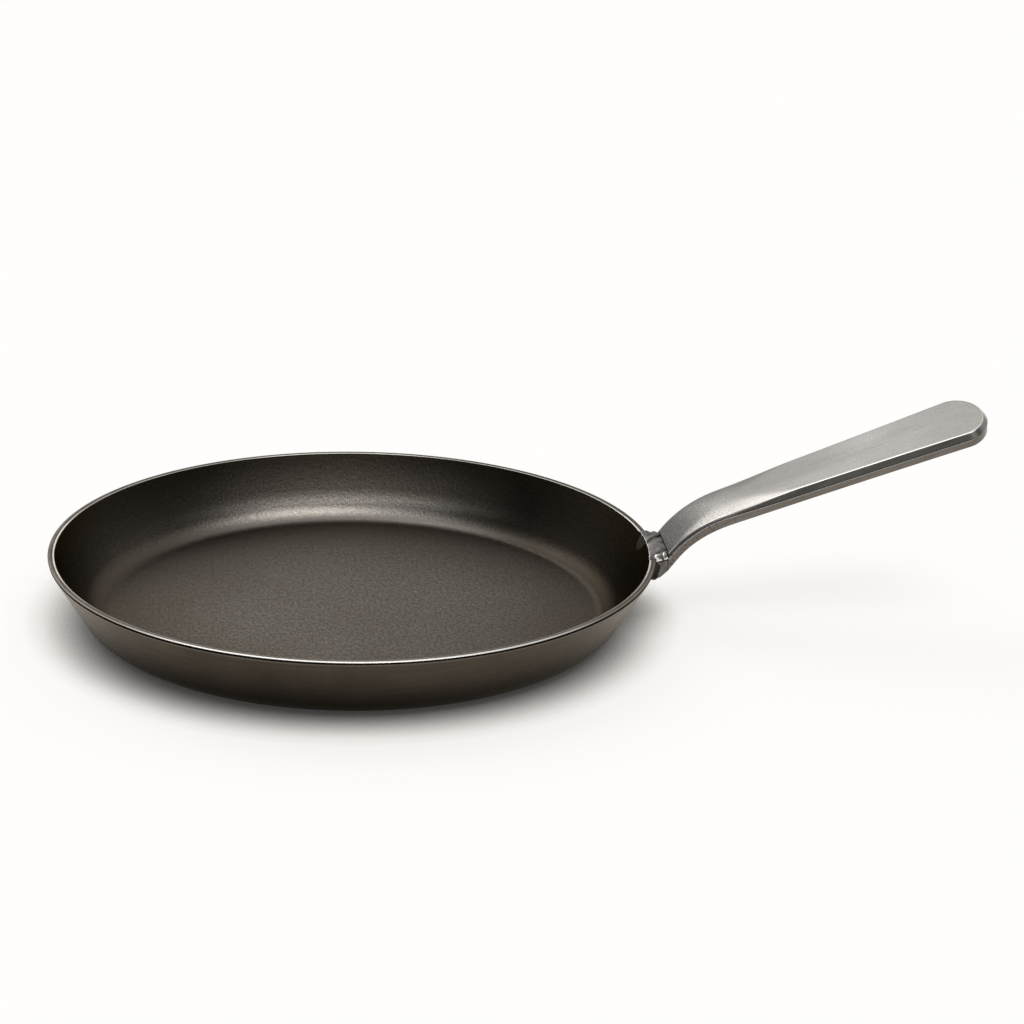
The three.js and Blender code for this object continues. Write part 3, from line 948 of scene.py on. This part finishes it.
brushed, tree = metal("brushed_dark_steel", BRUSHED_EDGE)
place = place_on(tree)
height = axes_of(tree, place)["Z"]
rings = grain(tree, stretched(tree, place, 26.0, 26.0, 2600.0), 1.0, 4.0, 0.6)
drift = grain(tree, place, 22.0, 4.0, 0.6)
dust = grain(tree, place, 1800.0, 2.0, 0.5)
colour = blend_colours(tree, spread_of(tree, drift, 0.3, 0.7), BROWN_STEEL, PALE_BROWN_STEEL)
colour = blend_colours(tree, spread_of(tree, rings, 0.3, 0.7, 0.0, 0.5), colour, BRUSH_LINE)
# Painted shade: darker towards the base
colour = blend_colours(tree, spread_of(tree, height, *FOOT_SHADE_BAND, 0.0, 0.6), colour, FOOT_SHADE)
# Painted highlight: a light line at the very top, below the groove
colour = blend_colours(tree, spread_of(tree, height, *TOP_HIGHLIGHT_BAND, 0.0, 0.7), colour, TOP_HIGHLIGHT)
marks = total(tree, rings, product(tree, dust, 0.4))
film = spread_of(tree, marks, 0.4, 1.0, 0.22, 0.33)
surface(brushed, colour, film, marks, strength=0.16, distance=0.0002)

# %% [markdown]
# The rim was turned on a lathe after pressing, so fine rings lie on it, and its grain is read by radius and
# height. Painted highlights lie along the inner edge, weaker on the diagonals and at the front, and on the
# lip at the front, and painted shade darkens the groove.

# %% Find the rim's painted highlights
TURNED_EDGE = (0.5, 0.48, 0.45, 1)
INNER_BAND, OUTER_BAND = (0.7, 0.3), (1.5, 1.0)
LIP_BAND, SHOULDER_BAND = (0.3, 0.4), (0.0, 0.1)

turned, tree = metal("turned_steel", TURNED_EDGE)
place = place_on(tree)
spot = axes_of(tree, place)
level = add(tree, "ShaderNodeVectorMath", {0: place, 1: (1.0, 1.0, 0.0)}, operation="MULTIPLY")
radius = add(tree, "ShaderNodeVectorMath", {0: level.outputs["Vector"]}, operation="LENGTH").outputs["Value"]
quarter = calc(tree, "ABSOLUTE", product(tree, spot["X"], spot["Y"]), 0.0)
inner_highlight_fade = calc(tree, "MINIMUM", spread_of(tree, quarter, 0.003, 0.0065, 0.9, 0.4),
                   spread_of(tree, spot["Y"], -0.07, -0.03, 0.25, 0.9))
inner_edge = spread_of(tree, radius, *((land_r + r) * MM for r in INNER_BAND))
outer_edge = spread_of(tree, radius, *((RIM_RADIUS - r) * MM for r in OUTER_BAND), 0.0, 0.95)
at_front = spread_of(tree, spot["Y"], -0.08, -0.124, 0.12, 1.0)
above_groove = spread_of(tree, spot["Z"], *((lip_z + z) * MM for z in LIP_BAND))
above_shoulder = spread_of(tree, spot["Z"], *((shoulder_z + z) * MM for z in SHOULDER_BAND), 0.0, 0.9)
# Painted highlight on the inner edge and on the lip at the front
rim_highlight = calc(tree, "MAXIMUM", product(tree, inner_edge, inner_highlight_fade), product(tree, outer_edge, at_front))
highlight_above_groove = product(tree, rim_highlight, above_groove)
in_groove = product(tree, above_shoulder, calc(tree, "SUBTRACT", 1.0, above_groove))
print("the rim's edges take", len(tree.nodes), "nodes")

# %% [markdown]
# With the edges found, the rim's colours are laid over each other: the oiled steel with its turning marks,
# the painted highlights on its edges, and the painted shade in the groove. The pan then gets its three
# finishes in the order of its faces.

# %% Finish the rim
OILED_STEEL, PALE_OILED_STEEL = (0.09, 0.078, 0.064, 1), (0.145, 0.127, 0.107, 1)
TURNING_MARK = (0.05, 0.043, 0.035, 1)
RIM_HIGHLIGHT_COLOUR = (0.82, 0.79, 0.75, 1)
GROOVE_SHADE = (0.012, 0.01, 0.008, 1)

turning = add(tree, "ShaderNodeCombineXYZ", {"X": radius, "Z": spot["Z"]}).outputs["Vector"]
rings = grain(tree, turning, 2200.0, 3.0, 0.6)
drift = grain(tree, place, 60.0, 4.0, 0.6)
colour = blend_colours(tree, spread_of(tree, drift, 0.3, 0.7), OILED_STEEL, PALE_OILED_STEEL)
colour = blend_colours(tree, spread_of(tree, rings, 0.4, 0.6, 0.0, 0.6), colour, TURNING_MARK)
# Painted highlight on the rim's edges
colour = blend_colours(tree, highlight_above_groove, colour, RIM_HIGHLIGHT_COLOUR)
# Painted shade: the groove is made near black
colour = blend_colours(tree, in_groove, colour, GROOVE_SHADE)
film = spread_of(tree, total(tree, rings, drift), 0.7, 1.3, 0.26, 0.4)
surface(turned, colour, film, rings, strength=0.1, distance=0.0002)

for finish in (seasoned, turned, brushed):
    pan.data.materials.append(finish)

# %% [markdown]
# The handle is satin steel, brushed lengthwise and then handled. The flat map keeps the brushing running
# with the bend. Painted shade darkens it near the bracket, a thin dark bloom lies where it is gripped and
# at the tip, and a painted highlight lies along the edges. Short scuffs lie across the brushing, and fine
# pits show near the root.

# %% Make the satin finish
ROOT_SHADE, TIP_BLOOM = (0.06, 0.012), (0.1, 0.132)
GRIP_START, GRIP_END, GRIP_SIDE = (0.02, 0.045), (0.105, 0.065), (-0.01, 0.0)
PIT_REACH = (0.05, 0.01)
PIT = (0.06, 0.055, 0.05, 1)
EDGE_HIGHLIGHT = (0.62, 0.6, 0.57, 1)


def bloom_share(tree, along, across):
    """The thin bloom of handling: in and past the bend, most on the far side, and at the tip."""
    gripped = calc(tree, "MINIMUM", spread_of(tree, along, *GRIP_START, 0.0, 0.5),
                   spread_of(tree, along, *GRIP_END, 0.0, 0.5))
    gripped = product(tree, gripped, spread_of(tree, across, *GRIP_SIDE, 0.4, 1.0))
    return calc(tree, "MAXIMUM", gripped, spread_of(tree, along, *TIP_BLOOM, 0.0, 0.25))


def satin(name, dark, light, bloom_and_shade):
    finish, tree = metal(name)
    flat = add(tree, "ShaderNodeUVMap", uv_map="flat").outputs["UV"]
    along, across, _ = axes_of(tree, flat)
    lines = grain(tree, stretched(tree, flat, 45.0, 3200.0, 1.0), 1.0, 4.0, 0.65)
    strokes = grain(tree, stretched(tree, flat, 16.0, 520.0, 1.0), 1.0, 3.0, 0.6)
    scuffs = grain(tree, stretched(tree, flat, 520.0, 160.0, 1.0), 1.0, 5.0, 0.7)
    cloud = grain(tree, place_on(tree), 45.0, 5.0, 0.6)
    near_root = total(tree, along, product(tree, cloud, 0.02))
    pits = product(tree, spread_of(tree, grain(tree, flat, 900.0, 3.0, 0.6), 0.5, 0.64, 0.0, 0.75),
                   spread_of(tree, along, *PIT_REACH, 0.15, 1.0))
    colour = blend_colours(tree, spread_of(tree, lines, 0.3, 0.7), dark, light)
    for factor, over in (
        (spread_of(tree, cloud, 0.42, 0.72, 0.0, 0.35), dark),
        (spread_of(tree, strokes, 0.45, 0.7, 0.0, 0.6), dark),
        # Painted shade: darker near the bracket
        (spread_of(tree, near_root, *ROOT_SHADE, 0.0, 0.85), bloom_and_shade),
        (spread_of(tree, scuffs, 0.5, 0.72, 0.0, 0.4), dark),
        (bloom_share(tree, along, across), bloom_and_shade),
        (pits, PIT),
        # Painted highlight along the edges and the side near the bracket
        (spread_of(tree, noted(tree, "edge_highlight"), 0.2, 0.8, 0.0, 0.8), EDGE_HIGHLIGHT),
    ):
        colour = blend_colours(tree, factor, colour, over)
    marks = total(tree, product(tree, lines, 0.5), product(tree, scuffs, 0.5))
    film = spread_of(tree, total(tree, marks, cloud), 0.75, 1.25, 0.21, 0.33)
    surface(finish, colour, film, marks, strength=0.07, distance=0.0002)
    return finish


upper_satin = satin("satin_steel", dark=(0.305, 0.289, 0.268, 1), light=(0.415, 0.395, 0.369, 1),
                    bloom_and_shade=(0.135, 0.126, 0.115, 1))
lower_satin = satin("browned_satin_steel", dark=(0.14, 0.122, 0.105, 1), light=(0.21, 0.186, 0.162, 1),
                    bloom_and_shade=(0.16, 0.14, 0.12, 1))
# The lip's paler satin is a painted highlight on the seam's rolled lip
lip_painted_highlight = satin("lip_painted_highlight", dark=(0.45, 0.428, 0.4, 1), light=(0.58, 0.556, 0.524, 1),
                   bloom_and_shade=(0.45, 0.428, 0.4, 1))

# %% [markdown]
# The bracket is forged and only lightly ground, so it is darker and blotchier than the handle. Weld metal
# is darker still and grainy. On the top pad the valleys are darker, and the drops at the end of the run and
# the pad's inner edge on the land are smoother and carry a painted highlight; what the vertices noted while
# the pad was shaped says where. The lining of the handle is raw sheet.

# %% Finish the bracket, the welds and the lining
VALLEY_DARK = (0.03, 0.028, 0.025, 1)
PAD_HIGHLIGHT_COLOUR = (0.72, 0.7, 0.67, 1)
DROP_SMOOTHER = 0.16


def rough_metal(name, dark, light, smoothest, roughest, rippled=False):
    finish, tree = metal(name)
    place = place_on(tree)
    blotch = grain(tree, place, 320.0, 5.0, 0.65)
    grit = grain(tree, place, 1900.0, 3.0, 0.6)
    colour = blend_colours(tree, spread_of(tree, blotch, 0.32, 0.68), dark, light)
    film = spread_of(tree, total(tree, blotch, grit), 0.7, 1.3, smoothest, roughest)
    if rippled:
        valley_dark = spread_of(tree, noted(tree, "valley"), 0.35, 1.0, 0.0, 0.8)
        pad_highlight = spread_of(tree, noted(tree, "drop"), 0.1, 0.45)
        # Darker in the ripples' valleys
        colour = blend_colours(tree, valley_dark, colour, VALLEY_DARK)
        # Painted highlight on the drops and the pad's inner edge
        colour = blend_colours(tree, pad_highlight, colour, PAD_HIGHLIGHT_COLOUR)
        film = calc(tree, "SUBTRACT", film, product(tree, pad_highlight, DROP_SMOOTHER))
    skin = total(tree, blotch, product(tree, grit, 0.4))
    surface(finish, colour, film, skin, strength=0.35, distance=0.0004)
    return finish


raw_sheet = rough_metal("raw_sheet_steel", (0.012, 0.011, 0.01, 1), (0.03, 0.027, 0.024, 1), 0.5, 0.7)
forged = rough_metal("forged_steel", (0.1, 0.091, 0.08, 1), (0.2, 0.184, 0.165, 1), 0.34, 0.5)
rippled_weld = rough_metal("rippled_weld", (0.085, 0.079, 0.071, 1), (0.19, 0.179, 0.164, 1), 0.32, 0.48,
                           rippled=True)
plain_weld = rough_metal("weld_metal", (0.022, 0.019, 0.016, 1), (0.05, 0.044, 0.038, 1), 0.36, 0.5)

for finish in (upper_satin, raw_sheet):
    upper_half.data.materials.append(finish)
for finish in (lower_satin, raw_sheet, lip_painted_highlight):
    lower_half.data.materials.append(finish)
bracket.data.materials.append(forged)
top_bead.data.materials.append(rippled_weld)
for bead in small_beads:
    bead.data.materials.append(plain_weld)

# %% [markdown]
# The stage is a plain pale floor. A shadow alone would be too weak on a floor this bright, so what the
# camera and the mirrors see is mostly a glow, and the Ambient Occlusion node dims and warms it close to the
# pan. All other rays meet plain pale paper.

# %% Lay the floor
FLOOR_HALF = 8.0
FLOOR_DROP = 0.0004
PAPER = (0.96, 0.955, 0.945, 1)
CLOSE_SHADE, OPEN_SHADE = (1.0, 0.96, 0.9, 1), (0.985, 0.975, 0.96, 1)
CONTACT_REACH = 0.025
GLOW_SHARE = 0.74

floor_bm = bmesh.new()
bmesh.ops.create_grid(floor_bm, x_segments=1, y_segments=1, size=FLOOR_HALF)
bmesh.ops.translate(floor_bm, vec=(0, 0, -FLOOR_DROP), verts=floor_bm.verts)
floor_mesh = bpy.data.meshes.new("floor")
floor_bm.to_mesh(floor_mesh)
floor_bm.free()
floor = bpy.data.objects.new("floor", floor_mesh)
bpy.context.collection.objects.link(floor)
pale = bpy.data.materials.new("pale_floor")
pale.use_nodes = True
tree = pale.node_tree
lit = add(tree, "ShaderNodeBsdfDiffuse", {"Color": PAPER}).outputs["BSDF"]
contact = add(tree, "ShaderNodeAmbientOcclusion", {"Distance": CONTACT_REACH}, samples=4).outputs["AO"]
shade = blend_colours(tree, spread_of(tree, contact, 0.6, 0.98), CLOSE_SHADE, OPEN_SHADE)
brightness = spread_of(tree, contact, 0.24, 0.91, 0.055, 1.0)
glow = add(tree, "ShaderNodeEmission", {"Color": shade, "Strength": brightness}).outputs["Emission"]
paper = add(tree, "ShaderNodeMixShader", {0: GLOW_SHARE, 1: lit, 2: glow}).outputs["Shader"]
ray = add(tree, "ShaderNodeLightPath").outputs
mirrored = calc(tree, "MAXIMUM", ray["Is Glossy Ray"], ray["Is Transmission Ray"])
seen = calc(tree, "MAXIMUM", ray["Is Camera Ray"], mirrored)
sheet_of_paper = add(tree, "ShaderNodeMixShader", {0: seen, 1: lit, 2: paper}).outputs["Shader"]
tree.links.new(sheet_of_paper, tree.nodes["Material Output"].inputs["Surface"])
pale.cycles.emission_sampling = "NONE"
floor_mesh.materials.append(pale)
print("floor is", 2 * FLOOR_HALF, "m across, with", len(tree.nodes), "nodes")

# %% [markdown]
# The light is a sky painted by direction, and one soft sun. The sky is brighter behind the object than in
# front, so that the outer wall keeps its dark side. A softbox overhead, towards the front, lights the
# handle's top, a panel high behind on the left gives the highlight on the far inner corner, and a little
# fill from the very front shows the handle's side.

# %% Light the stage
PANEL_DIRECTION = (-0.32, 0.68, 0.66)
PANEL_LEVEL = 2.4
SUN_LEVEL = 0.85
SUN_SOFTNESS = math.radians(30)
SUN_TILT = (math.radians(20), math.radians(12), 0)

scene = bpy.context.scene
scene.view_settings.view_transform = "Standard"
world = bpy.data.worlds.new("studio")
scene.world = world
world.use_nodes = True
sky = world.node_tree
direction = add(sky, "ShaderNodeTexCoord").outputs["Generated"]
facing = axes_of(sky, direction)
behind = spread_of(sky, facing["Y"], -0.3, 0.85, 0.05, 0.74)
rising = spread_of(sky, facing["Z"], 0.0, 0.5, 0.55, 1.4)
left_fade = spread_of(sky, facing["X"], -0.55, -0.1)
right_fade = spread_of(sky, facing["X"], 0.8, 0.4)
front_fade = spread_of(sky, facing["Y"], -0.84, -0.45, 0.0, 1.2)
back_fade = spread_of(sky, facing["Y"], 0.3, -0.05)
softbox = product(sky, left_fade, right_fade, front_fade, back_fade)
towards = add(sky, "ShaderNodeVectorMath", {0: direction, 1: PANEL_DIRECTION}, operation="DOT_PRODUCT")
panel = spread_of(sky, towards.outputs["Value"], 0.906, 0.98, 0.0, PANEL_LEVEL)
front_fill = spread_of(sky, facing["Y"], -0.8, -0.9, 0.0, 0.16)
background = sky.nodes["Background"].inputs
background["Color"].default_value = (1.0, 1.0, 1.0, 1)
sky.links.new(total(sky, product(sky, behind, rising), softbox, panel, front_fill), background["Strength"])

overhead = bpy.data.lights.new("overhead", "SUN")
overhead.energy = SUN_LEVEL
overhead.angle = SUN_SOFTNESS
lamp = bpy.data.objects.new("overhead", overhead)
lamp.rotation_euler = SUN_TILT
bpy.context.collection.objects.link(lamp)
print("the sky takes", len(sky.nodes), "nodes")

# %% [markdown]
# The camera stands about 1.2 m off, a little above the pan, and looks down by about 20 degrees through a
# long lens. Its small roll matches the slight tilt of the rim in the picture.

# %% Place the camera
CAMERA_PLACE = (-0.06015, -1.14772, 0.45426)
HEADING = math.radians(6.375)
PITCH = -0.3405
ROLL = 0.0274
FOCAL_LENGTH = 100.0
SENSOR = 36.0

lens = bpy.data.cameras.new("camera")
lens.lens = FOCAL_LENGTH
lens.sensor_width = SENSOR
camera = bpy.data.objects.new("camera", lens)
bpy.context.collection.objects.link(camera)
turn = Matrix.Rotation(-HEADING, 4, "Z")
tilt = Matrix.Rotation(math.pi / 2 + PITCH, 4, "X")
roll = Matrix.Rotation(ROLL, 4, "Z")
camera.matrix_world = Matrix.Translation(CAMERA_PLACE) @ turn @ tilt @ roll
scene.camera = camera
print("camera looks down by", round(math.degrees(-PITCH), 1), "degrees")
